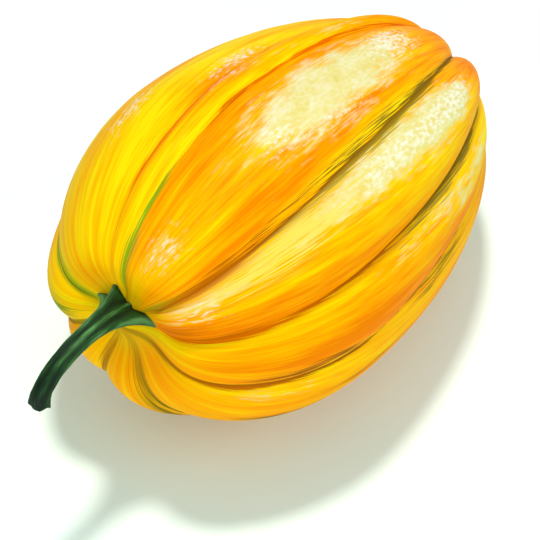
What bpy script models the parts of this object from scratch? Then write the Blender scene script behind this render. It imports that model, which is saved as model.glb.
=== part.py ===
"""Golden acorn squash lying on its side: one ribbed fruit and its cut, dried stem.

Units are metres and +Z is up. The squash lies on z = 0, on the small flat spot under its belly.
+X runs from the stem to the blossom end, and the stem end is a little higher than the blossom end,
which is how the fruit balances. Angles about the fruit's axis start at the top and grow towards -Y.
"""

import math

import bmesh
import bpy
from mathutils import Vector
from mathutils.geometry import interpolate_bezier

# The fruit, along its own axis from its widest section
STEM_HALF = 0.0631
BLOSSOM_HALF = 0.0934
CREST_RADIUS = 0.0500
STEM_TAPER = 1.067
BLOSSOM_TAPER = 1.032

# Where the fruit lies
WIDEST_AT = Vector((-0.0016, 0.0011, 0.0482))
REST_TILT = math.radians(6.5)

# The hollow that the stem stands in, the puffed skin in its middle, and the bump left by the flower
RECESS_DEPTH = 0.0123
RECESS_RADIUS = 0.0156
PUFF_HEIGHT = 0.0060
PUFF_RADIUS = 0.0065
STEM_RISE = 0.0050
STEM_RISE_POWER = 6
SCAR_HEIGHT = 0.0015
SCAR_RADIUS = 0.0045

# Grooves between the ribs: depths are shares of the radius, spans are shares of the axis
GROOVE_DEPTH = 0.062
STEM_GROOVE_DEPTH = 0.110
STEM_GROOVE_SPAN = 0.22
BLOSSOM_GROOVE_DEPTH = 0.126
BLOSSOM_GROOVE_SPAN = 0.223
RIB_ROUNDNESS = 2.1

# Each rib in turn about the axis: the angle of the groove that it starts at, where that groove leaves
# the stem, how far the groove leans over by the blossom end, and how far the rib's crest swells, at
# the stem end, all along, and at the blossom end
RIBS = {
    "strip": (-20.0, 8.0, 0.00, -0.02, 0.02),
    "crown": (-6.0, 0.0, 0.00, -0.02, 0.01),
    "shoulder": (43.0, -20.0, 0.00, 0.03, 0.05),
    "flank": (73.0, -19.0, 0.00, 0.02, -0.06),
    "near_belly": (108.0, -35.0, -0.09, -0.01, 0.06),
    "belly": (160.0, -26.0, 0.10, -0.03, 0.00),
    "far_belly": (202.0, -14.0, 0.00, 0.00, 0.00),
    "far_side": (242.0, -10.0, 0.17, -0.04, 0.03),
    "far_shoulder": (281.0, -14.0, -0.08, 0.00, -0.11),
}
RIB_NAMES = list(RIBS)
STEM_SWELL_SPAN = 0.24
BLOSSOM_SWELL_SPAN = 0.40
LEAN_POWER = 1.5
FULL_TURN = 360.0

# Fineness of the fruit's mesh
STEPS_PER_RIB = 7
RINGS = 38

# The stem: its middle line beside the fruit's axis, as (along, up) from the widest section
STEM_PATH = ((-0.0450, 0.0035), (-0.0610, 0.0165), (-0.0888, 0.0108), (-0.0882, 0.0004))
STEM_RINGS = 44
STEM_STEPS = 60
SHAFT_RADIUS = 0.0022
CUT_END_SWELL = 0.0004
CUT_END_SPAN = 0.10
# Its five ridges run out into prongs on the fruit: the angle of each about the stem, from the near
# side over the top, and how far it reaches
PRONGS = ((2.0, 0.0090), (64.0, 0.0), (132.0, 0.0074), (184.0, 0.0086), (268.0, 0.0024))
RIDGE_HEIGHT = 0.0005
RIDGE_WIDTH = math.radians(24.0)
PRONG_WIDTH = math.radians(16.0)
FOOT_SWELL = 0.0006
FOOT_AT = 0.14
FOOT_FADE = 0.095
SEAT_GAP = 0.0003


def bump(distance, width):
    """A smooth hill: 1 in the middle, gone at about twice the width."""
    return math.exp(-((distance / width) ** 2))


def axis_point(along, up, side):
    """The place of a point given beside the fruit's own axis."""
    axis = Vector((math.cos(REST_TILT), 0.0, -math.sin(REST_TILT)))
    top = Vector((math.sin(REST_TILT), 0.0, math.cos(REST_TILT)))
    near = Vector((0.0, -1.0, 0.0))
    return WIDEST_AT + axis * along + top * up + near * side


def groove_depth(turn):
    """Depth of the grooves, as a share of the radius, from the stem (0) to the blossom end (pi)."""
    share = turn / math.pi
    at_stem = STEM_GROOVE_DEPTH * bump(share, STEM_GROOVE_SPAN)
    at_blossom = BLOSSOM_GROOVE_DEPTH * bump(1.0 - share, BLOSSOM_GROOVE_SPAN)
    return GROOVE_DEPTH + at_stem + at_blossom


def groove_angle(groove, turn):
    """Where a groove lies about the axis, in degrees. Grooves are numbered like the ribs they start."""
    turns, rib = divmod(groove, len(RIBS))
    start, lean = RIBS[RIB_NAMES[rib]][:2]
    return start + lean * (turn / math.pi) ** LEAN_POWER + FULL_TURN * turns


def crest_swell(rib, turn):
    """How far the rib's crest stands out beyond the plain fruit, as a share of the radius."""
    at_stem, all_along, at_blossom = RIBS[RIB_NAMES[rib]][2:]
    share = turn / math.pi
    swell = all_along + at_stem * bump(share, STEM_SWELL_SPAN)
    return swell + at_blossom * bump(1.0 - share, BLOSSOM_SWELL_SPAN)


def skin_point(turn, rib, across):
    """A point of the skin. turn goes from stem to blossom end, and across from -1 to 1 over a rib."""
    start = groove_angle(rib, turn)
    end = groove_angle(rib + 1, turn)
    angle = math.radians(start + (end - start) * (across + 1.0) / 2.0)
    near_stem = turn < math.pi / 2.0
    radius = CREST_RADIUS * max(math.sin(turn), 0.0) ** (STEM_TAPER if near_stem else BLOSSOM_TAPER)
    radius *= 1.0 - groove_depth(turn) * abs(across) ** RIB_ROUNDNESS
    radius *= 1.0 + crest_swell(rib, turn) * (1.0 - across**2)
    if near_stem:
        hollow = RECESS_DEPTH * bump(radius, RECESS_RADIUS) - PUFF_HEIGHT * bump(radius, PUFF_RADIUS)
        along = hollow - STEM_HALF * math.cos(turn)
        rise = STEM_RISE * math.cos(turn) ** STEM_RISE_POWER
    else:
        along = SCAR_HEIGHT * bump(radius, SCAR_RADIUS) - BLOSSOM_HALF * math.cos(turn)
        rise = 0.0
    return axis_point(along, radius * math.cos(angle) + rise, radius * math.sin(angle))


def shape_skin(bm):
    """Moves the points of a unit sphere onto the skin. The sphere's +Z pole becomes the stem end."""
    meridians = STEPS_PER_RIB * len(RIBS)
    for vert in bm.verts:
        turn = math.acos(max(-1.0, min(1.0, vert.co.z)))
        azimuth = math.atan2(vert.co.y, vert.co.x) % math.tau
        meridian = round(azimuth / math.tau * meridians) % meridians
        rib, step = divmod(meridian, STEPS_PER_RIB)
        vert.co = skin_point(turn, rib, 2.0 * step / STEPS_PER_RIB - 1.0)
    bmesh.ops.recalc_face_normals(bm, faces=bm.faces)


def cut_ground_spot(bm):
    """Cuts off what would be under the surface, and closes the cut with one flat face."""
    everything = bm.verts[:] + bm.edges[:] + bm.faces[:]
    cut = bmesh.ops.bisect_plane(
        bm, geom=everything, dist=1e-7, plane_co=(0, 0, 0), plane_no=(0, 0, 1), clear_inner=True
    )
    rim = [item for item in cut["geom_cut"] if isinstance(item, bmesh.types.BMEdge)]
    bmesh.ops.contextual_create(bm, geom=rim)
    bmesh.ops.recalc_face_normals(bm, faces=bm.faces)


def new_object(name, bm, collection):
    mesh = bpy.data.meshes.new(name)
    bm.to_mesh(mesh)
    bm.free()
    obj = bpy.data.objects.new(name, mesh)
    collection.objects.link(obj)
    return obj


def finish_surface(obj, material, sharp_deg):
    """Gives a sub-part its material, and smooth shading up to its real edges."""
    obj.data.materials.append(material)
    obj.data.shade_smooth()
    obj.data.set_sharp_from_angle(angle=math.radians(sharp_deg))


def plain_material(name, colour, roughness):
    material = bpy.data.materials.new(name)
    material.use_nodes = True
    shader = material.node_tree.nodes["Principled BSDF"]
    shader.inputs["Base Color"].default_value = (*colour, 1.0)
    shader.inputs["Roughness"].default_value = roughness
    shader.inputs["Metallic"].default_value = 0.0
    return material


def make_fruit(collection):
    bm = bmesh.new()
    meridians = STEPS_PER_RIB * len(RIBS)
    bmesh.ops.create_uvsphere(bm, u_segments=meridians, v_segments=RINGS, radius=1.0)
    shape_skin(bm)
    cut_ground_spot(bm)
    fruit = new_object("fruit", bm, collection)
    finish_surface(fruit, plain_material("golden_rind", (0.90, 0.50, 0.03), 0.38), 120.0)
    return fruit


def make_seat_cutter(collection):
    """The whole fruit grown by the seat gap, which trims the foot of the stem to the skin."""
    bm = bmesh.new()
    meridians = STEPS_PER_RIB * len(RIBS)
    bmesh.ops.create_uvsphere(bm, u_segments=meridians, v_segments=RINGS, radius=1.0)
    shape_skin(bm)
    bm.normal_update()
    grown = [vert.co + vert.normal * SEAT_GAP for vert in bm.verts]
    for vert, place in zip(bm.verts, grown):
        vert.co = place
    cutter = new_object("seat_cutter", bm, collection)
    cutter.display_type = "WIRE"
    cutter.hide_render = True
    return cutter


def stem_radius(share, angle):
    """The stem's radius, from its foot in the fruit (share 0) to the cut end (share 1)."""
    foot = math.exp(-max(0.0, share - FOOT_AT) / FOOT_FADE)
    width = RIDGE_WIDTH + (PRONG_WIDTH - RIDGE_WIDTH) * foot
    radius = SHAFT_RADIUS + FOOT_SWELL * foot + CUT_END_SWELL * bump(1.0 - share, CUT_END_SPAN)
    for prong, reach in PRONGS:
        off = abs(angle - math.radians(prong))
        off = min(off, math.tau - off)
        radius += (RIDGE_HEIGHT + reach * foot) * bump(off, width)
    return radius


def stem_sections():
    """The rings of points that the stem is lofted through, foot first."""
    path = [axis_point(along, up, 0.0) for along, up in STEM_PATH]
    line = interpolate_bezier(*path, STEM_RINGS)
    sideways = Vector((0.0, -1.0, 0.0))
    sections = []
    for index, middle in enumerate(line):
        before = line[max(index - 1, 0)]
        after = line[min(index + 1, STEM_RINGS - 1)]
        upward = (after - before).normalized().cross(sideways)
        section = []
        for step in range(STEM_STEPS):
            angle = math.tau * step / STEM_STEPS
            radius = stem_radius(index / (STEM_RINGS - 1), angle)
            section.append(middle + (sideways * math.cos(angle) + upward * math.sin(angle)) * radius)
        sections.append(section)
    return sections


def make_stem(collection, cutter):
    sections = stem_sections()
    bm = bmesh.new()
    ring = bmesh.ops.create_circle(bm, segments=len(sections[0]), radius=1.0)["verts"]
    for vert, place in zip(ring, sections[0]):
        vert.co = place
    edges = bm.edges[:]
    bmesh.ops.contextual_create(bm, geom=edges)
    for section in sections[1:]:
        grown = bmesh.ops.extrude_edge_only(bm, edges=edges)["geom"]
        ring = [item for item in grown if isinstance(item, bmesh.types.BMVert)]
        edges = [item for item in grown if isinstance(item, bmesh.types.BMEdge)]
        for vert, place in zip(ring, section):
            vert.co = place
    bmesh.ops.contextual_create(bm, geom=edges)
    bmesh.ops.recalc_face_normals(bm, faces=bm.faces)
    stem = new_object("stem", bm, collection)
    seat = stem.modifiers.new("seat", "BOOLEAN")
    seat.operation = "DIFFERENCE"
    seat.solver = "EXACT"
    seat.object = cutter
    finish_surface(stem, plain_material("dark_green_stem", (0.02, 0.10, 0.03), 0.60), 40.0)
    return stem


def main():
    for obj in list(bpy.data.objects):
        bpy.data.objects.remove(obj, do_unlink=True)
    squash = bpy.data.collections.new("acorn_squash")
    cutters = bpy.data.collections.new("cutters")
    for collection in (squash, cutters):
        bpy.context.scene.collection.children.link(collection)
    make_fruit(squash)
    make_stem(squash, make_seat_cutter(cutters))


main()
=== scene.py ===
"""Looks of the golden acorn squash: a waxy, ribbed fruit and its cut green stem, on a pale floor.

Units are metres, +Z is up, and the squash lies on z = 0. +X runs from the stem to the blossom end.
Angles about the fruit's axis start at the top and grow towards -Y, the side that the camera sees.
A place on the skin is given by its rib, its share of the way from stem (0) to blossom end (1), and
how far across the rib it is, from the rib's first groove (-1) over its crest (0) to its second (1).
"""

import math

import bmesh
import bpy
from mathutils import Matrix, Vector, noise
from mathutils.geometry import interpolate_bezier


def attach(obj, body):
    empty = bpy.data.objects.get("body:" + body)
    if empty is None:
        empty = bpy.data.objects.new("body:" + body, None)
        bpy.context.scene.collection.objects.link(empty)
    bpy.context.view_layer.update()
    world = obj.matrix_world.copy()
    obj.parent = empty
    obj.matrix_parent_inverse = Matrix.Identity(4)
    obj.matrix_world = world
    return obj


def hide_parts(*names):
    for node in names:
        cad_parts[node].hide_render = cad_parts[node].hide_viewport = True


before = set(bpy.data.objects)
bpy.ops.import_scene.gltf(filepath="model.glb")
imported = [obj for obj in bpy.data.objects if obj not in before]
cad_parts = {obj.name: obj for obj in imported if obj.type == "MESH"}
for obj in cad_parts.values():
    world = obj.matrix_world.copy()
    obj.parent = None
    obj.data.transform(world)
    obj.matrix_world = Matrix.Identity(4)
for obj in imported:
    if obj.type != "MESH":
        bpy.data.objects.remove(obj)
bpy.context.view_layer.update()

MM = 0.001

# The fruit, along its own axis from its widest section
STEM_HALF = 63.1 * MM
BLOSSOM_HALF = 93.4 * MM
CREST_RADIUS = 50.0 * MM
STEM_TAPER = 1.067
BLOSSOM_TAPER = 1.032
WIDEST_AT = Vector((-1.6 * MM, 1.1 * MM, 48.2 * MM))
REST_TILT = math.radians(6.5)

# The hollow that the stem stands in, and the skin puffed up in its middle
RECESS_DEPTH = 12.3 * MM
RECESS_RADIUS = 15.6 * MM
PUFF_HEIGHT = 6.0 * MM
PUFF_RADIUS = 6.5 * MM
STEM_RISE = 5.0 * MM
STEM_RISE_POWER = 6

# The corky button left by the flower, and how far its scab reaches: from none to whole
SCAR_HEIGHT = 1.5 * MM
SCAR_RADIUS = 4.5 * MM
SCAB_EDGE = (5.85 * MM, 4.05 * MM)
BLOSSOM_SIDE = 0.5

# Grooves between the ribs: depths are shares of the radius, spans are shares of the axis
GROOVE_DEPTH = 0.062
STEM_GROOVE_DEPTH = 0.110
STEM_GROOVE_SPAN = 0.22
BLOSSOM_GROOVE_DEPTH = 0.126
BLOSSOM_GROOVE_SPAN = 0.223
RIB_ROUNDNESS = 2.1

# Each rib in turn about the axis: the angle at the stem of the groove that it starts at, how far
# that groove has leant over by the blossom end, both in degrees, and how far the rib's crest
# swells, as shares of the radius: at the stem end, all along and at the blossom end
RIBS = {
    "strip": (-20.0, 8.0, 0.00, -0.02, 0.02),
    "crown": (-6.0, 0.0, 0.00, -0.02, 0.01),
    "shoulder": (43.0, -20.0, 0.00, 0.03, 0.05),
    "flank": (73.0, -19.0, 0.00, 0.02, -0.06),
    "near_belly": (108.0, -35.0, -0.09, -0.01, 0.06),
    "belly": (160.0, -26.0, 0.10, -0.03, 0.00),
    "far_belly": (202.0, -14.0, 0.00, 0.00, 0.00),
    "far_side": (242.0, -10.0, 0.17, -0.04, 0.03),
    "far_shoulder": (281.0, -14.0, -0.08, 0.00, -0.11),
}
RIB_NAMES = list(RIBS)
STEM_SWELL_SPAN = 0.24
BLOSSOM_SWELL_SPAN = 0.40
LEAN_POWER = 1.5
FULL_TURN = 360.0

# The skin's own unevenness: (size across, size along, height), all in mm
SKIN_RELIEF = ((16.0, 30.0, 0.45), (4.0, 16.0, 0.10))

# Fineness of the fruit's mesh, and how near the floor's plane a point counts as on it
STEPS_PER_RIB = 40
RINGS = 220
ON_FLOOR = 1e-7

# How orange the skin is (0 lemon yellow, 1 deep orange) on each rib, at its first groove, its crest
# and its second groove: near the stem, in the middle and near the blossom end
TONES = {
    "strip": ((0.15, 0.22, 0.28), (0.75, 0.35, 0.14), (0.40, 0.28, 0.30)),
    "crown": ((0.45, 0.30, 0.50), (0.70, 0.50, 0.50), (0.75, 0.45, 0.45)),
    "shoulder": ((0.35, 0.55, 0.85), (0.30, 0.45, 0.65), (0.50, 0.40, 0.45)),
    "flank": ((0.20, 0.45, 0.65), (0.40, 0.75, 0.75), (0.25, 0.35, 0.80)),
    "near_belly": ((0.45, 0.45, 0.50), (0.35, 0.60, 0.60), (0.45, 0.60, 0.60)),
    "belly": ((0.50, 0.45, 0.45), (0.55, 0.55, 0.55), (0.55, 0.55, 0.60)),
    "far_belly": ((0.50, 0.45, 0.50), (0.60, 0.50, 0.60), (0.65, 0.60, 0.65)),
    "far_side": ((0.35, 0.20, 0.30), (0.55, 0.40, 0.50), (0.60, 0.55, 0.60)),
    "far_shoulder": ((0.45, 0.20, 0.25), (0.50, 0.10, 0.10), (0.60, 0.35, 0.45)),
}
TONE_SHARES = (0.10, 0.45, 0.80)

# Soft blotches of another tone on each rib: share, across, half length (share), half width
# (across), and how much more orange (or, below 0, more yellow) the skin is there
BLUSHES = {
    "strip": (
        (0.42, -0.75, 0.11, 0.45, 0.55), (0.52, 0.00, 0.04, 0.50, 0.35),
        (0.78, 0.00, 0.09, 0.80, 0.50),
    ),
    "crown": (
        (0.12, 0.45, 0.06, 0.35, 0.35), (0.20, -0.45, 0.06, 0.25, 0.25),
        (0.28, 0.80, 0.10, 0.25, 0.35), (0.40, 0.45, 0.10, 0.25, 0.40),
        (0.51, 0.60, 0.13, 0.12, 0.42), (0.50, 0.86, 0.15, 0.09, -0.40),
        (0.81, 0.00, 0.06, 0.90, 0.50),
    ),
    "shoulder": (
        (0.12, 0.40, 0.07, 0.50, 0.45), (0.25, 0.95, 0.12, 0.30, 0.35),
        (0.32, 0.35, 0.10, 0.30, 0.15), (0.62, 0.10, 0.12, 0.40, -0.25),
        (0.81, -0.10, 0.06, 0.90, 0.60),
    ),
    "flank": (
        (0.20, -0.20, 0.06, 0.40, 0.15), (0.38, 0.15, 0.14, 0.35, 0.30),
        (0.68, -0.30, 0.16, 0.45, -0.30), (0.41, 0.85, 0.05, 0.20, -0.45),
        (0.22, -0.40, 0.07, 0.30, 0.25), (0.62, 0.50, 0.14, 0.30, 0.35),
    ),
    "near_belly": ((0.66, -0.10, 0.12, 0.30, 0.35), (0.10, 0.00, 0.07, 0.80, 0.22)),
    "belly": ((0.10, 0.00, 0.07, 0.90, 0.22),),
    "far_shoulder": (
        (0.50, 0.95, 0.06, 0.20, 0.50), (0.50, 0.10, 0.16, 0.22, 0.45),
        (0.12, 0.20, 0.04, 0.60, 0.35), (0.30, -0.05, 0.12, 0.25, 0.15),
    ),
}

# Pale patches, given in the same way, with how much of the skin each covers: partly dry corky skin,
# partly painted highlight on the upper crests
CORK_AND_HIGHLIGHT_PATCHES = {
    "strip": ((0.50, 0.00, 0.06, 0.40, 0.30), (0.64, 0.40, 0.08, 0.40, 0.40)),
    "crown": ((0.56, -0.10, 0.15, 0.58, 1.05), (0.20, -0.10, 0.06, 0.40, 0.35)),
    "shoulder": (
        (0.66, -0.28, 0.075, 0.46, 1.00), (0.55, -0.54, 0.09, 0.42, 0.90),
        (0.42, -0.60, 0.10, 0.28, 0.55), (0.19, -0.60, 0.08, 0.40, 0.50),
    ),
    "flank": ((0.68, -0.25, 0.10, 0.40, 0.50), (0.56, -0.60, 0.12, 0.22, 0.30)),
    "near_belly": ((0.32, -0.70, 0.12, 0.22, 0.32),),
    "far_shoulder": ((0.42, 0.20, 0.05, 0.16, 0.35), (0.54, 0.80, 0.04, 0.14, 0.35)),
}

# White flecks, given in the same way: partly dry flecks of the skin, partly painted glints of
# highlight
FLECKS_AND_GLINTS = {
    "strip": ((0.50, -0.40, 0.05, 0.35, 0.40),),
    "crown": (
        (0.68, -0.15, 0.05, 0.45, 0.60), (0.54, 0.36, 0.06, 0.12, 0.38),
        (0.45, 0.05, 0.04, 0.25, 0.40), (0.21, -0.15, 0.05, 0.40, 0.35),
    ),
    "shoulder": (
        (0.67, -0.30, 0.07, 0.32, 0.60), (0.54, -0.50, 0.07, 0.28, 0.50),
        (0.18, -0.30, 0.06, 0.45, 0.35),
    ),
    "far_shoulder": ((0.42, 0.30, 0.06, 0.16, 0.45), (0.54, 0.85, 0.05, 0.14, 0.45)),
}

# Colours of the stains that lie in the grooves and beside them. The brown, olive and khaki ones are
# partly painted shade in the grooves and along the underside.
RUST = "#DE6E00"
BROWN = "#8E5204"
OLIVE = "#78660E"
KHAKI = "#A48628"
OCHRE = "#B8780A"
LEMON = "#E8C652"
LEAF_GREEN = "#8CA616"

# Stains of each groove, named for the rib that starts at it: colour, share from, share to, half
# width in mm, amount. The brown and olive ones are partly painted shade down in the grooves.
GROOVE_STAINS_AND_SHADE = {
    "strip": ((RUST, 0.20, 0.50, 1.1, 0.45), (RUST, 0.48, 1.00, 1.2, 0.60)),
    "crown": (
        (LEAF_GREEN, 0.02, 0.38, 0.8, 0.80), (BROWN, 0.24, 0.56, 0.4, 0.55),
        (RUST, 0.36, 1.00, 0.9, 0.60),
    ),
    "shoulder": (
        (RUST, 0.04, 0.38, 1.5, 0.60), (BROWN, 0.02, 0.36, 1.1, 0.50),
        (BROWN, 0.16, 0.90, 0.5, 0.90), (OLIVE, 0.44, 0.90, 0.9, 0.45),
    ),
    "flank": (
        (RUST, 0.04, 0.58, 1.1, 0.55), (BROWN, 0.30, 1.00, 0.5, 0.85),
        (OLIVE, 0.50, 0.90, 1.0, 0.75),
    ),
    "near_belly": (
        (OCHRE, -0.10, 0.22, 2.0, 0.75), (BROWN, -0.08, 0.90, 0.9, 0.85),
        (BROWN, 0.14, 0.52, 1.7, 0.60), (OLIVE, 0.46, 0.84, 1.0, 0.60),
    ),
    "belly": ((OCHRE, -0.10, 0.24, 2.0, 0.75), (OLIVE, 0.06, 0.50, 0.9, 0.70)),
    "far_belly": ((OCHRE, -0.10, 0.24, 2.0, 0.65), (OLIVE, 0.06, 0.55, 0.9, 0.60)),
    "far_side": ((OLIVE, 0.00, 0.65, 1.0, 0.60),),
    "far_shoulder": ((LEAF_GREEN, 0.00, 0.55, 1.1, 0.75), (OLIVE, 0.04, 0.40, 0.6, 0.50)),
}
STAIN_AND_SHADE_ENDS = 0.12
NO_STAIN_OR_SHADE = 1e-6

# Washes of the same colours over each rib: colour, share, across, half length, half width, amount.
# The brown, olive and khaki ones beside the grooves are partly painted shade, and the olive ones
# low on the near belly and the belly are painted shadow along the underside.
WASHES_AND_SHADE = {
    "crown": (
        (LEAF_GREEN, 0.11, 0.80, 0.06, 0.30, 0.45), (OLIVE, 0.10, -0.80, 0.06, 0.25, 0.25),
        (BROWN, 0.32, 0.90, 0.20, 0.14, 0.40), (KHAKI, 0.20, -0.85, 0.05, 0.16, 0.45),
        (KHAKI, 0.58, 0.84, 0.16, 0.12, 0.22), (OLIVE, 0.62, 0.92, 0.16, 0.10, 0.38),
    ),
    "shoulder": (
        (BROWN, 0.20, 0.92, 0.10, 0.16, 0.50), (LEMON, 0.36, -0.58, 0.15, 0.40, 0.72),
        (RUST, 0.14, 0.50, 0.08, 0.30, 0.55), (BROWN, 0.12, 0.45, 0.05, 0.30, 0.40),
        (KHAKI, 0.58, -0.90, 0.12, 0.10, 0.60), (OLIVE, 0.54, -0.95, 0.16, 0.07, 0.60),
        (LEAF_GREEN, 0.14, -0.90, 0.05, 0.30, 0.30),
    ),
    "flank": (
        (BROWN, 0.35, 0.62, 0.09, 0.16, 0.75), (BROWN, 0.28, 0.90, 0.08, 0.14, 0.60),
        (BROWN, 0.34, 0.45, 0.08, 0.15, 0.45), (RUST, 0.27, -0.96, 0.12, 0.07, 0.75),
        (KHAKI, 0.62, -0.85, 0.12, 0.16, 0.70),
    ),
    "near_belly": (
        (RUST, 0.26, -0.96, 0.08, 0.08, 0.60), (BROWN, 0.47, -0.38, 0.10, 0.12, 0.52),
        (OLIVE, 0.40, 0.14, 0.14, 0.16, 0.80), (OLIVE, 0.60, -0.85, 0.05, 0.18, 0.55),
    ),
    "belly": ((OLIVE, 0.22, -0.70, 0.09, 0.30, 0.65),),
    "far_side": (
        (LEAF_GREEN, 0.17, -0.30, 0.07, 0.50, 0.55), (OLIVE, 0.15, -0.40, 0.04, 0.30, 0.60),
    ),
    "far_shoulder": ((LEAF_GREEN, 0.16, -0.90, 0.08, 0.30, 0.45),),
}

# The green tint of the hollow round the stem: the shares at which it starts to fade and is gone
COLLAR_FADE = (0.0375, 0.1125)

# The stem: its middle line beside the fruit's axis, as (along, up) from the widest section
STEM_PATH = (
    (-45.0 * MM, 3.5 * MM), (-61.0 * MM, 16.5 * MM), (-88.8 * MM, 10.8 * MM), (-88.2 * MM, 0.4 * MM)
)
STEM_RINGS = 150
STEM_STEPS = 180
STEM_LENGTH = 50.0 * MM
SHAFT_RADIUS = 2.2 * MM
CUT_END_SWELL = 0.4 * MM
CUT_END_SPAN = 0.10

# Its five ridges run out into prongs on the fruit: the angle of each about the stem, from the near
# side over the top, and how far it reaches
PRONGS = (
    (2.0, 9.0 * MM), (64.0, 0.0 * MM), (132.0, 7.4 * MM), (184.0, 8.6 * MM), (268.0, 2.4 * MM)
)
RIDGE_HEIGHT = 0.5 * MM
RIDGE_WIDTH = math.radians(24.0)
PRONG_WIDTH = math.radians(16.0)
FOOT_SWELL = 0.6 * MM
FOOT_AT = 0.14
FOOT_FADE = 0.095

# Fine unevenness of the shaft: (how many times round, how many times along, its own offset)
STRIATION_HEIGHT = 0.10 * MM
STRIATIONS = ((5.0, 9.0, 0.0), (2.0, 22.0, 7.0))

# The cut end: how ragged its edge is, and the steps in which it sinks to the pith, each as
# (what is left of the width, how much of the depth is gained)
CUT_RAGGEDNESS = 0.7 * MM
RAGGED_ROUND = 2.6
RAGGED_OFFSET = Vector((3.0, 1.0, 0.0))
RAGGED_FROM = 0.93
PITH_DEPTH = 0.8 * MM
PITH_STEPS = ((0.82, 0.1), (0.75, 0.6), (0.5, 0.3), (0.8, -0.2))

# The stem's paleness, which along its ridges is painted highlight: less towards the cut end, more
# on the foot
END_DARKENING = 0.7
END_DARK_SHARES = (0.5, 0.95)
FOOT_PALENESS = 0.25

# Patterns drawn out along the fruit or the stem: (size across in mm, size along in mm, detail)
BROAD_STREAKS = (5.0, 40.0, 2.0)
MIDDLE_STREAKS = (1.8, 22.0, 2.0)
FINE_STREAKS = (0.6, 11.0, 3.0)
CLOUDS = (3.5, 8.0, 3.0)
BRUSHED_EDGE = (0.7, 5.0, 3.0)
CORK_SPECKS = (1.1, 1.7, 3.0)
RAGGED_LINES = (0.4, 13.0, 3.0)
STEM_BANDS = (0.9, 9.0, 2.0)
STEM_FIBRES = (0.35, 5.0, 2.0)
STEM_BARK = (0.6, 4.5, 3.0)

# How strongly each pattern counts where several are added up. The middles are taken off again, so
# that the patterns vary a tone evenly to both sides.
RIND_TONE_MIX = (1.0, 0.8, 0.9, 0.8)  # the rib's own tone, then broad, middle and fine streaks
RIND_TONE_MIDDLE = 1.2
CORK_AND_HIGHLIGHT_EDGE_MIX = (0.45, 0.55)  # clouds and brushed edge
MOTTLE_MIX = (0.5, 0.5)  # clouds and cork specks
RIND_RELIEF_MIX = (1.0, 0.6, 3.0)  # middle and fine streaks, then cork specks
STEM_TONE_MIX = (0.6, 0.9, 0.5, 0.5)  # ridges, bands, fibres and bark
STEM_TONE_MIDDLE = 0.76

# How a patch breaks up towards its edge: the range of a texture that does it, and how gradually
EDGE_RANGE = (0.3, 0.7)
CRISP = 0.5
SOFT = 1.0

# The rind: its colours from the most yellow tone to the most orange, and what lies over them. A
# cover is the most of the rind that a patch hides.
RIND_COLOURS = (
    (0.0, "#F2D006"), (0.25, "#F2BC02"), (0.5, "#F2A600"), (0.75, "#F29200"), (1.0, "#EA7A00")
)
# Pale patches: dry cork, and painted highlight on the upper crests
CORK_AND_HIGHLIGHT_COLOURS = ((0.34, "#D2C26E"), (0.5, "#D8CE90"), (0.66, "#DCD7B6"))
CORK_AND_HIGHLIGHT_COVER = 0.9
# White flecks: partly painted glints of highlight
FLECK_AND_GLINT_COLOUR = "#E6DECC"
FLECK_AND_GLINT_COVER = 0.8
COLLAR_COLOUR = "#A8A010"
COLLAR_COVER = 0.32
SCAB_COLOURS = ((0.4, "#6A4C28"), (0.6, "#A88450"))
WHOLE_COVER = 1.0
BUMP_HEIGHT = 0.3 * MM
WAX_ROUGHNESS = 0.45
CORK_ROUGHER_BY = 0.25
WAX_SHINE = 0.008
RIND_BUMP_STRENGTH = 0.25

# The stem's colours, from its darkest tone to its palest: the darkest stand for painted shade in
# the valleys between the ridges, the palest for painted highlight on the ridges
STEM_COLOURS = ((0.0, "#030A03"), (0.35, "#0A260A"), (0.65, "#1A4415"), (1.0, "#56864A"))
PITH_COLOUR = "#5A5630"
STEM_ROUGHNESS = 0.55
STEM_SHINE = 0.18
STEM_BUMP_STRENGTH = 0.5

# The floor
FLOOR_COLOUR = "#ECF8F2"
FLOOR_ROUGHNESS = 0.95
FLOOR_HALF_WIDTH = 1.5

# Kinds of shader node, and the Mix node's colour sockets
READ = "ShaderNodeAttribute"
NOISE = "ShaderNodeTexNoise"
SCALE = "ShaderNodeVectorMath"
MATH = "ShaderNodeMath"
RANGE = "ShaderNodeMapRange"
RAMP = "ShaderNodeValToRGB"
MIX = "ShaderNodeMix"
BUMP = "ShaderNodeBump"
MIX_UNDER, MIX_OVER, MIX_RESULT = 6, 7, 2

# Camera, and what it looks at beside the fruit's widest section
CAMERA_AZIMUTH = math.radians(-52.2)
CAMERA_ELEVATION = math.radians(46.6)
CAMERA_DISTANCE = 0.7146
AIM_RIGHT = 5.3 * MM
AIM_DOWN = 10.9 * MM
CAMERA_LENS_MM = 173.3
SENSOR_MM = 36.0
CAMERA_REACH = 10.0

# Studio: the lamps as (name, place, diameter, watts, colour), and the light from all round
LAMPS = (
    ("key", (0.085, 0.075, 1.10), 0.14, 8.0, "#FFFBF6"),
    ("front_fill", (-0.98, -0.50, 0.26), 0.9, 6.4, "#F6FBFF"),
    ("side_fill", (0.45, -0.95, 0.50), 0.9, 3.6, "#F6FBFF"),
)
SURROUND_COLOUR = "#D6F3F2"
SURROUND_STRENGTH = 0.62


def bump(distance, width):
    """A smooth hill: 1 in the middle, gone at about twice the width."""
    return math.exp(-((distance / width) ** 2))


def smooth_step(low, high, value):
    """0 up to low, 1 from high on, and smooth between them."""
    x = min(1.0, max(0.0, (value - low) / (high - low)))
    return x * x * (3.0 - 2.0 * x)


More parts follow.
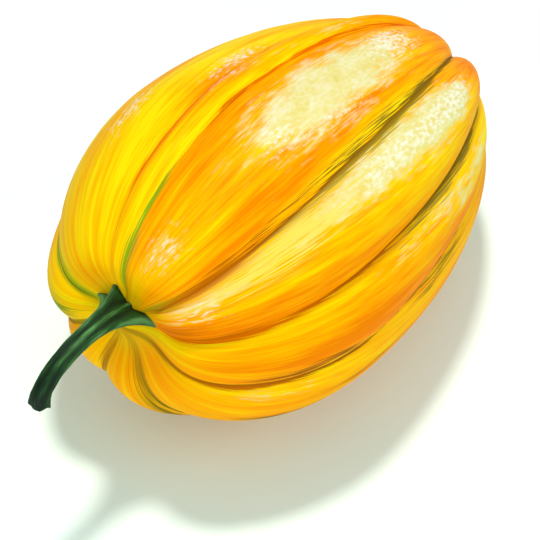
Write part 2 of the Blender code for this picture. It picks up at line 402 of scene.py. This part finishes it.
def linear(hex_colour):
    """An sRGB hex colour as the linear RGBA that sockets take."""
    channels = [int(hex_colour[i : i + 2], 16) / 255.0 for i in (1, 3, 5)]
    return (*[c / 12.92 if c <= 0.04045 else ((c + 0.055) / 1.055) ** 2.4 for c in channels], 1.0)


def axis_point(along, up, side):
    """The place of a point given beside the fruit's own axis."""
    axis = Vector((math.cos(REST_TILT), 0.0, -math.sin(REST_TILT)))
    top = Vector((math.sin(REST_TILT), 0.0, math.cos(REST_TILT)))
    near = Vector((0.0, -1.0, 0.0))
    return WIDEST_AT + axis * along + top * up + near * side


def groove_depth(share):
    """How deep the grooves are, as a share of the radius."""
    at_stem = STEM_GROOVE_DEPTH * bump(share, STEM_GROOVE_SPAN)
    at_blossom = BLOSSOM_GROOVE_DEPTH * bump(1.0 - share, BLOSSOM_GROOVE_SPAN)
    return GROOVE_DEPTH + at_stem + at_blossom


def groove_angle(groove, share):
    """Where a groove lies about the axis, in degrees. It has the number of the rib it starts."""
    turns, rib = divmod(groove, len(RIBS))
    start, lean = RIBS[RIB_NAMES[rib]][:2]
    return start + lean * share**LEAN_POWER + FULL_TURN * turns


def crest_swell(rib, share):
    """How far a rib's crest stands out beyond the plain body, as a share of the radius."""
    at_stem, all_along, at_blossom = RIBS[RIB_NAMES[rib]][2:]
    swell = all_along + at_stem * bump(share, STEM_SWELL_SPAN)
    return swell + at_blossom * bump(1.0 - share, BLOSSOM_SWELL_SPAN)


def skin_relief(angle, share):
    """How far the skin stands out or in, beyond the plain ribs."""
    height = 0.0
    for across_mm, along_mm, height_mm in SKIN_RELIEF:
        round_scale = CREST_RADIUS / (across_mm * MM)
        along_scale = (STEM_HALF + BLOSSOM_HALF) / (along_mm * MM)
        across_way, up_way = math.sin(angle) * round_scale, math.cos(angle) * round_scale
        spot = Vector((up_way, across_way, share * along_scale))
        height += height_mm * MM * noise.noise(spot)
    return height


def skin_spot(share, rib, across):
    """(along, radius, angle, rise) of a point of the skin, in the fruit's own measures."""
    turn = share * math.pi
    start = groove_angle(rib, share)
    end = groove_angle(rib + 1, share)
    angle = math.radians(start + (end - start) * (across + 1.0) / 2.0)
    near_stem = turn < math.pi / 2.0
    taper = STEM_TAPER if near_stem else BLOSSOM_TAPER
    radius = CREST_RADIUS * max(math.sin(turn), 0.0) ** taper
    radius *= 1.0 - groove_depth(share) * abs(across) ** RIB_ROUNDNESS
    radius *= 1.0 + crest_swell(rib, share) * (1.0 - across**2)
    radius += skin_relief(angle, share) * math.sin(turn)
    if near_stem:
        hollow = RECESS_DEPTH * bump(radius, RECESS_RADIUS)
        hollow -= PUFF_HEIGHT * bump(radius, PUFF_RADIUS)
        along = hollow - STEM_HALF * math.cos(turn)
        rise = STEM_RISE * math.cos(turn) ** STEM_RISE_POWER
    else:
        along = SCAR_HEIGHT * bump(radius, SCAR_RADIUS) - BLOSSOM_HALF * math.cos(turn)
        rise = 0.0
    return along, radius, angle, rise


def patch_amount(patch, share, across):
    """What a soft patch adds at a place on its own rib."""
    at_share, at_across, half_length, half_width, amount = patch
    return amount * bump(share - at_share, half_length) * bump(across - at_across, half_width)


def patch_sum(patches, rib_name, share, across):
    """What all the soft patches of a rib add up to at a place."""
    return sum(patch_amount(patch, share, across) for patch in patches.get(rib_name, ()))


def skin_tone(rib_name, share, across):
    """How orange the skin is at a place: 0 is lemon yellow, 1 deep orange."""
    levels = []
    for first, crest, second in TONES[rib_name]:
        edge = second if across > 0.0 else first
        levels.append(crest + (edge - crest) * smooth_step(0.0, 1.0, abs(across)))
    at_stem, at_middle, at_blossom = levels
    stem, middle, blossom = TONE_SHARES
    if share < middle:
        tone = at_stem + (at_middle - at_stem) * smooth_step(stem, middle, share)
    else:
        tone = at_middle + (at_blossom - at_middle) * smooth_step(middle, blossom, share)
    return tone + patch_sum(BLUSHES, rib_name, share, across)


def skin_stain_and_shade(rib_name, groove_name, share, across, distance):
    """(strength, linear colour) of the stains and painted groove shade at a place, given how far
    the nearest groove is.
    """
    laid = []
    for colour, start, end, half_width_mm, amount in GROOVE_STAINS_AND_SHADE[groove_name]:
        comes = smooth_step(start, start + STAIN_AND_SHADE_ENDS, share)
        goes = 1.0 - smooth_step(end - STAIN_AND_SHADE_ENDS, end, share)
        laid.append((amount * comes * goes * bump(distance, half_width_mm * MM), colour))
    for colour, *patch in WASHES_AND_SHADE.get(rib_name, ()):
        laid.append((patch_amount(patch, share, across), colour))
    clear = 1.0
    tint, total = Vector((0.0, 0.0, 0.0)), NO_STAIN_OR_SHADE
    for strength, colour in laid:
        clear *= 1.0 - strength
        tint += Vector(linear(colour)[:3]) * strength
        total += strength
    return 1.0 - clear, tint / total


def new_piece(name, bm, material):
    """Makes a smooth-shaded object of a finished bmesh."""
    mesh = bpy.data.meshes.new(name)
    bm.to_mesh(mesh)
    bm.free()
    mesh.shade_smooth()
    mesh.materials.append(material)
    piece = bpy.data.objects.new(name, mesh)
    bpy.context.scene.collection.objects.link(piece)
    return piece


def make_fruit():
    """A sphere moved onto the ribbed skin, with what its rind looks like stored at each vertex, and
    cut flat where it rests."""
    bm = bmesh.new()
    meridians = STEPS_PER_RIB * len(RIBS)
    bmesh.ops.create_uvsphere(bm, u_segments=meridians, v_segments=RINGS, radius=1.0)
    new_value, new_vector = bm.verts.layers.float.new, bm.verts.layers.float_vector.new
    grain, tint = new_vector("grain"), new_vector("stain_and_shade_tint")
    tone, cork_and_highlight, stain_and_shade = new_value("tone"), new_value("cork_and_highlight"), new_value("stain_and_shade")
    collar, scar, fleck_and_glint = new_value("collar"), new_value("scar"), new_value("fleck_and_glint")
    for vert in bm.verts:
        share = math.acos(max(-1.0, min(1.0, vert.co.z))) / math.pi
        azimuth = math.atan2(vert.co.y, vert.co.x) % math.tau
        meridian = round(azimuth / math.tau * meridians) % meridians
        rib, step = divmod(meridian, STEPS_PER_RIB)
        across = math.sin(math.pi / 2.0 * (2.0 * step / STEPS_PER_RIB - 1.0))
        along, radius, angle, rise = skin_spot(share, rib, across)
        vert.co = axis_point(along, radius * math.cos(angle) + rise, radius * math.sin(angle))
        round_way = Vector((math.cos(angle), math.sin(angle), 0.0))
        vert[grain] = round_way * CREST_RADIUS + Vector((0.0, 0.0, along))
        rib_name = RIB_NAMES[rib]
        vert[tone] = skin_tone(rib_name, share, across)
        # Pale patches: partly corky skin, partly painted highlight
        vert[cork_and_highlight] = patch_sum(CORK_AND_HIGHLIGHT_PATCHES, rib_name, share, across)
        # White flecks: partly painted glints of highlight
        vert[fleck_and_glint] = patch_sum(FLECKS_AND_GLINTS, rib_name, share, across)
        half_width = math.radians(groove_angle(rib + 1, share) - groove_angle(rib, share)) / 2.0
        groove_name = RIB_NAMES[(rib + (across > 0.0)) % len(RIBS)]
        to_groove = (1.0 - abs(across)) * half_width * radius
        # Stains, partly painted shade in the grooves and along the underside
        vert[stain_and_shade], vert[tint] = skin_stain_and_shade(rib_name, groove_name, share, across, to_groove)
        vert[collar] = 1.0 - smooth_step(*COLLAR_FADE, share)
        vert[scar] = smooth_step(*SCAB_EDGE, radius) if share > BLOSSOM_SIDE else 0.0
    cut = bmesh.ops.bisect_plane(
        bm, geom=bm.verts[:] + bm.edges[:] + bm.faces[:], dist=ON_FLOOR,
        plane_co=(0, 0, 0), plane_no=(0, 0, 1), clear_inner=True,
    )
    rim = [item for item in cut["geom_cut"] if isinstance(item, bmesh.types.BMEdge)]
    bmesh.ops.contextual_create(bm, geom=rim)
    bmesh.ops.recalc_face_normals(bm, faces=bm.faces)
    return new_piece("ribbed_fruit", bm, rind_material())


def prong_profile(angle, width):
    """How strongly the ridges stand at an angle about the stem: (their shape, their reach)."""
    shape, reach = 0.0, 0.0
    for prong, prong_reach in PRONGS:
        off = abs(angle - math.radians(prong))
        off = min(off, math.tau - off)
        shape += bump(off, width)
        reach += prong_reach * bump(off, width)
    return shape, reach


def make_stem():
    """A ring extruded along the stem's line, ridged and flared at its foot, ragged and hollowed at
    its cut end."""
    path = [axis_point(along, up, 0.0) for along, up in STEM_PATH]
    line = interpolate_bezier(*path, STEM_RINGS)
    sideways = Vector((0.0, -1.0, 0.0))
    bm = bmesh.new()
    ridge_highlight_and_shade = bm.verts.layers.float.new("ridge_highlight_and_shade")
    grain = bm.verts.layers.float_vector.new("grain")
    pith = bm.verts.layers.float.new("pith")
    ring = bmesh.ops.create_circle(bm, segments=STEM_STEPS, radius=1.0)["verts"]
    edges = bm.edges[:]
    bmesh.ops.contextual_create(bm, geom=edges)
    for index, middle in enumerate(line):
        if index:
            grown = bmesh.ops.extrude_edge_only(bm, edges=edges)["geom"]
            ring = [item for item in grown if isinstance(item, bmesh.types.BMVert)]
            edges = [item for item in grown if isinstance(item, bmesh.types.BMEdge)]
        share = index / (STEM_RINGS - 1)
        tangent = (line[min(index + 1, STEM_RINGS - 1)] - line[max(index - 1, 0)]).normalized()
        upward = tangent.cross(sideways)
        foot = math.exp(-max(0.0, share - FOOT_AT) / FOOT_FADE)
        width = RIDGE_WIDTH + (PRONG_WIDTH - RIDGE_WIDTH) * foot
        plain_radius = SHAFT_RADIUS + FOOT_SWELL * foot
        plain_radius += CUT_END_SWELL * bump(1.0 - share, CUT_END_SPAN)
        ragged = CUT_RAGGEDNESS * smooth_step(RAGGED_FROM, 1.0, share)
        paleness = 1.0 - END_DARKENING * smooth_step(*END_DARK_SHARES, share)
        for step, vert in enumerate(ring):
            angle = math.tau * step / STEM_STEPS
            shape, reach = prong_profile(angle, width)
            radius = plain_radius + RIDGE_HEIGHT * shape + reach * foot
            spot = Vector((math.cos(angle), math.sin(angle), 0.0))
            for times_round, times_along, offset in STRIATIONS:
                place = spot * times_round + Vector((offset, 0.0, share * times_along))
                radius += STRIATION_HEIGHT * noise.noise(place)
            vert.co = middle + (sideways * math.cos(angle) + upward * math.sin(angle)) * radius
            vert.co += tangent * ragged * noise.noise(spot * RAGGED_ROUND + RAGGED_OFFSET)
            # Paler on the ridges as painted highlight, darker between them as painted shade, and
            # paler on the foot
            vert[ridge_highlight_and_shade] = min(1.0, shape) * paleness + FOOT_PALENESS * foot
            vert[grain] = spot * SHAFT_RADIUS + Vector((0.0, 0.0, share * STEM_LENGTH))
    end = bmesh.ops.contextual_create(bm, geom=edges)["faces"]
    for narrowing, sinking in PITH_STEPS:
        bmesh.ops.inset_region(bm, faces=end, thickness=0.0)
        verts = end[0].verts[:]
        centre = sum((vert.co for vert in verts), Vector()) / len(verts)
        for vert in verts:
            vert.co = centre + (vert.co - centre) * narrowing - tangent * PITH_DEPTH * sinking
            vert[pith] = 1.0
    bmesh.ops.recalc_face_normals(bm, faces=bm.faces)
    return new_piece("ridged_stem", bm, stem_material())


def add_node(tree, kind, inputs=None, out=0, stops=(), **settings):
    """Adds a shader node and returns one of its outputs. Each input is a plain value or another
    node's output, and the stops are those of a colour ramp."""
    node = tree.nodes.new(kind)
    for name, value in settings.items():
        setattr(node, name, value)
    for name, value in (inputs or {}).items():
        if isinstance(value, bpy.types.NodeSocket):
            tree.links.new(value, node.inputs[name])
        else:
            node.inputs[name].default_value = value
    for _ in stops[2:]:
        node.color_ramp.elements.new(0.5)
    for index, (position, colour) in enumerate(stops):
        node.color_ramp.elements[index].position = position
        node.color_ramp.elements[index].color = linear(colour)
    return node.outputs[out]


def grain_noise(tree, across_mm, along_mm, detail):
    """Noise drawn out along the fruit or the stem, 0 to 1, of a real size across and along."""
    grain = add_node(tree, READ, out="Vector", attribute_name="grain")
    scale = (1.0 / (across_mm * MM), 1.0 / (across_mm * MM), 1.0 / (along_mm * MM))
    sized = add_node(tree, SCALE, {0: grain, 1: scale}, operation="MULTIPLY")
    return add_node(tree, NOISE, {"Vector": sized, "Scale": 1.0, "Detail": detail}, out="Fac")


def add_up(tree, strengths, *values):
    """The sum of some values, each times its own strength."""
    total = 0.0
    for value, strength in zip(values, strengths):
        inputs = {0: value, 1: strength, 2: total}
        total = add_node(tree, MATH, inputs, operation="MULTIPLY_ADD")
    return total


def dry_brush(tree, patch, texture, softness):
    """How much a patch covers: whole where its attribute is 1, and broken up by the texture towards
    its edge, as a nearly dry brush leaves it."""
    amount = add_node(tree, READ, out="Fac", attribute_name=patch)
    low, high = EDGE_RANGE
    even = {"Value": texture, "From Min": low, "From Max": high}
    even = add_node(tree, RANGE, even, interpolation_type="SMOOTHSTEP")
    whole = 1.0 + softness
    raised = add_node(tree, MATH, {0: amount, 1: whole, 2: even}, operation="MULTIPLY_ADD")
    cover = {"Value": raised, "From Min": 1.0, "From Max": whole}
    return add_node(tree, RANGE, cover, interpolation_type="SMOOTHSTEP")


def lay_over(tree, under, cover, strength, over):
    """A colour with another laid over it where a patch covers it, up to the given strength."""
    share = add_node(tree, MATH, {0: cover, 1: strength}, operation="MULTIPLY")
    inputs = {0: share, MIX_UNDER: under, MIX_OVER: over}
    return add_node(tree, MIX, inputs, out=MIX_RESULT, data_type="RGBA")


def new_material(name):
    """(material, its node tree, its shader)."""
    material = bpy.data.materials.new(name)
    material.use_nodes = True
    return material, material.node_tree, material.node_tree.nodes["Principled BSDF"]


def rind_material():
    """Squash rind, as grown: hard skin under a thin bloom of wax. To the eye it is a deep golden
    colour with next to no shine, streaked lengthwise from yellow to orange. Pale patches are cream
    and rougher, partly dry cork and partly painted highlight on the upper crests, with white flecks
    that are partly painted glints. Stains line the grooves, the brown and olive ones partly painted
    shade in the grooves and along the underside, and the scar is a brown scab. The finest streaks
    are a little coarser than the real ones, so that they show."""
    material, tree, shader = new_material("waxy_rind")
    broad = grain_noise(tree, *BROAD_STREAKS)
    middle = grain_noise(tree, *MIDDLE_STREAKS)
    fine = grain_noise(tree, *FINE_STREAKS)
    clouds = grain_noise(tree, *CLOUDS)
    brushed = grain_noise(tree, *BRUSHED_EDGE)
    specks = grain_noise(tree, *CORK_SPECKS)
    ragged = grain_noise(tree, *RAGGED_LINES)

    tone = add_node(tree, READ, out="Fac", attribute_name="tone")
    tone = add_up(tree, RIND_TONE_MIX, tone, broad, middle, fine)
    tone = add_node(tree, MATH, {0: tone, 1: RIND_TONE_MIDDLE}, operation="SUBTRACT")
    colour = add_node(tree, RAMP, {"Fac": tone}, stops=RIND_COLOURS)

    # Pale patches: dry cork, and painted highlight on the upper crests
    cork_and_highlight_edge = add_up(tree, CORK_AND_HIGHLIGHT_EDGE_MIX, clouds, brushed)
    cork_and_highlight = dry_brush(tree, "cork_and_highlight", cork_and_highlight_edge, SOFT)
    mottle = add_up(tree, MOTTLE_MIX, clouds, specks)
    cork_and_highlight_colour = add_node(tree, RAMP, {"Fac": mottle}, stops=CORK_AND_HIGHLIGHT_COLOURS)
    colour = lay_over(tree, colour, cork_and_highlight, CORK_AND_HIGHLIGHT_COVER, cork_and_highlight_colour)
    # White flecks, partly painted glints of highlight
    fleck_and_glint = dry_brush(tree, "fleck_and_glint", specks, SOFT)
    colour = lay_over(tree, colour, fleck_and_glint, FLECK_AND_GLINT_COVER, linear(FLECK_AND_GLINT_COLOUR))

    tint = add_node(tree, READ, out="Vector", attribute_name="stain_and_shade_tint")
    # Stains, and painted shade in the grooves and along the underside
    stain_and_shade = dry_brush(tree, "stain_and_shade", ragged, CRISP)
    colour = lay_over(tree, colour, stain_and_shade, WHOLE_COVER, tint)
    collar = dry_brush(tree, "collar", ragged, CRISP)
    colour = lay_over(tree, colour, collar, COLLAR_COVER, linear(COLLAR_COLOUR))
    scab = add_node(tree, RAMP, {"Fac": mottle}, stops=SCAB_COLOURS)
    scar = dry_brush(tree, "scar", specks, SOFT)
    colour = lay_over(tree, colour, scar, WHOLE_COVER, scab)
    tree.links.new(colour, shader.inputs["Base Color"])

    rough = {0: cork_and_highlight, 1: CORK_ROUGHER_BY, 2: WAX_ROUGHNESS}
    rough = add_node(tree, MATH, rough, operation="MULTIPLY_ADD")
    tree.links.new(rough, shader.inputs["Roughness"])
    shader.inputs["Specular IOR Level"].default_value = WAX_SHINE

    cork_relief = add_node(tree, MATH, {0: specks, 1: cork_and_highlight}, operation="MULTIPLY")
    height = add_up(tree, RIND_RELIEF_MIX, middle, fine, cork_relief)
    relief = {"Strength": RIND_BUMP_STRENGTH, "Distance": BUMP_HEIGHT, "Height": height}
    tree.links.new(add_node(tree, BUMP, relief), shader.inputs["Normal"])
    return material


def stem_material():
    """Tough, woody stem, cut and left to dry: a dark bottle green with a dull shine, paler on its
    foot, and brown on the dry pith of the cut end. Its ridges are painted paler as highlight, and
    the valleys between them darker as painted shade."""
    material, tree, shader = new_material("dried_stem")
    bands = grain_noise(tree, *STEM_BANDS)
    fibres = grain_noise(tree, *STEM_FIBRES)
    bark = grain_noise(tree, *STEM_BARK)
    # Painted highlight on the ridges and painted shade between them
    ridge_highlight_and_shade = add_node(tree, READ, out="Fac", attribute_name="ridge_highlight_and_shade")
    tone = add_up(tree, STEM_TONE_MIX, ridge_highlight_and_shade, bands, fibres, bark)
    tone = add_node(tree, MATH, {0: tone, 1: STEM_TONE_MIDDLE}, operation="SUBTRACT")
    colour = add_node(tree, RAMP, {"Fac": tone}, stops=STEM_COLOURS)
    pith = add_node(tree, READ, out="Fac", attribute_name="pith")
    colour = lay_over(tree, colour, pith, WHOLE_COVER, linear(PITH_COLOUR))
    tree.links.new(colour, shader.inputs["Base Color"])
    shader.inputs["Roughness"].default_value = STEM_ROUGHNESS
    shader.inputs["Specular IOR Level"].default_value = STEM_SHINE
    relief = {"Strength": STEM_BUMP_STRENGTH, "Distance": BUMP_HEIGHT, "Height": bark}
    tree.links.new(add_node(tree, BUMP, relief), shader.inputs["Normal"])
    return material


def make_camera():
    """The camera stands off from the widest section and looks a little to one side of it."""
    look = Vector((
        -math.sin(CAMERA_AZIMUTH) * math.cos(CAMERA_ELEVATION),
        math.cos(CAMERA_AZIMUTH) * math.cos(CAMERA_ELEVATION),
        -math.sin(CAMERA_ELEVATION),
    ))
    right = look.cross(Vector((0, 0, 1))).normalized()
    down = look.cross(right)
    place = WIDEST_AT - look * CAMERA_DISTANCE
    aim = WIDEST_AT + right * AIM_RIGHT + down * AIM_DOWN
    data = bpy.data.cameras.new("camera")
    data.lens = CAMERA_LENS_MM
    data.sensor_width = SENSOR_MM
    data.clip_end = CAMERA_REACH
    camera = bpy.data.objects.new("camera", data)
    camera.location = place
    camera.rotation_euler = (aim - place).to_track_quat("-Z", "Y").to_euler()
    bpy.context.scene.collection.objects.link(camera)
    bpy.context.scene.camera = camera


def make_lamp(name, place, diameter, watts, colour):
    """A round, soft lamp that faces the fruit's widest section."""
    data = bpy.data.lights.new(name, "AREA")
    data.shape = "DISK"
    data.size = diameter
    data.energy = watts
    data.color = linear(colour)[:3]
    lamp = bpy.data.objects.new(name, data)
    lamp.location = place
    lamp.rotation_euler = (WIDEST_AT - Vector(place)).to_track_quat("-Z", "Y").to_euler()
    bpy.context.scene.collection.objects.link(lamp)


def make_floor():
    """Matt painted board: plain, pale and without shine."""
    material, tree, shader = new_material("pale_floor")
    shader.inputs["Base Color"].default_value = linear(FLOOR_COLOUR)
    shader.inputs["Roughness"].default_value = FLOOR_ROUGHNESS
    bm = bmesh.new()
    bmesh.ops.create_grid(bm, x_segments=1, y_segments=1, size=FLOOR_HALF_WIDTH)
    floor = new_piece("floor", bm, material)


def make_studio():
    """The lamps, and plain light from all round."""
    for lamp in LAMPS:
        make_lamp(*lamp)
    world = bpy.data.worlds.new("studio")
    world.use_nodes = True
    background = world.node_tree.nodes["Background"]
    background.inputs["Color"].default_value = linear(SURROUND_COLOUR)
    background.inputs["Strength"].default_value = SURROUND_STRENGTH
    bpy.context.scene.world = world
    bpy.context.scene.view_settings.view_transform = "Standard"


fruit = make_fruit()
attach(fruit, "root")
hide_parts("fruit")
stem = make_stem()
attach(stem, "root")
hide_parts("stem")
make_floor()
make_camera()
make_studio()
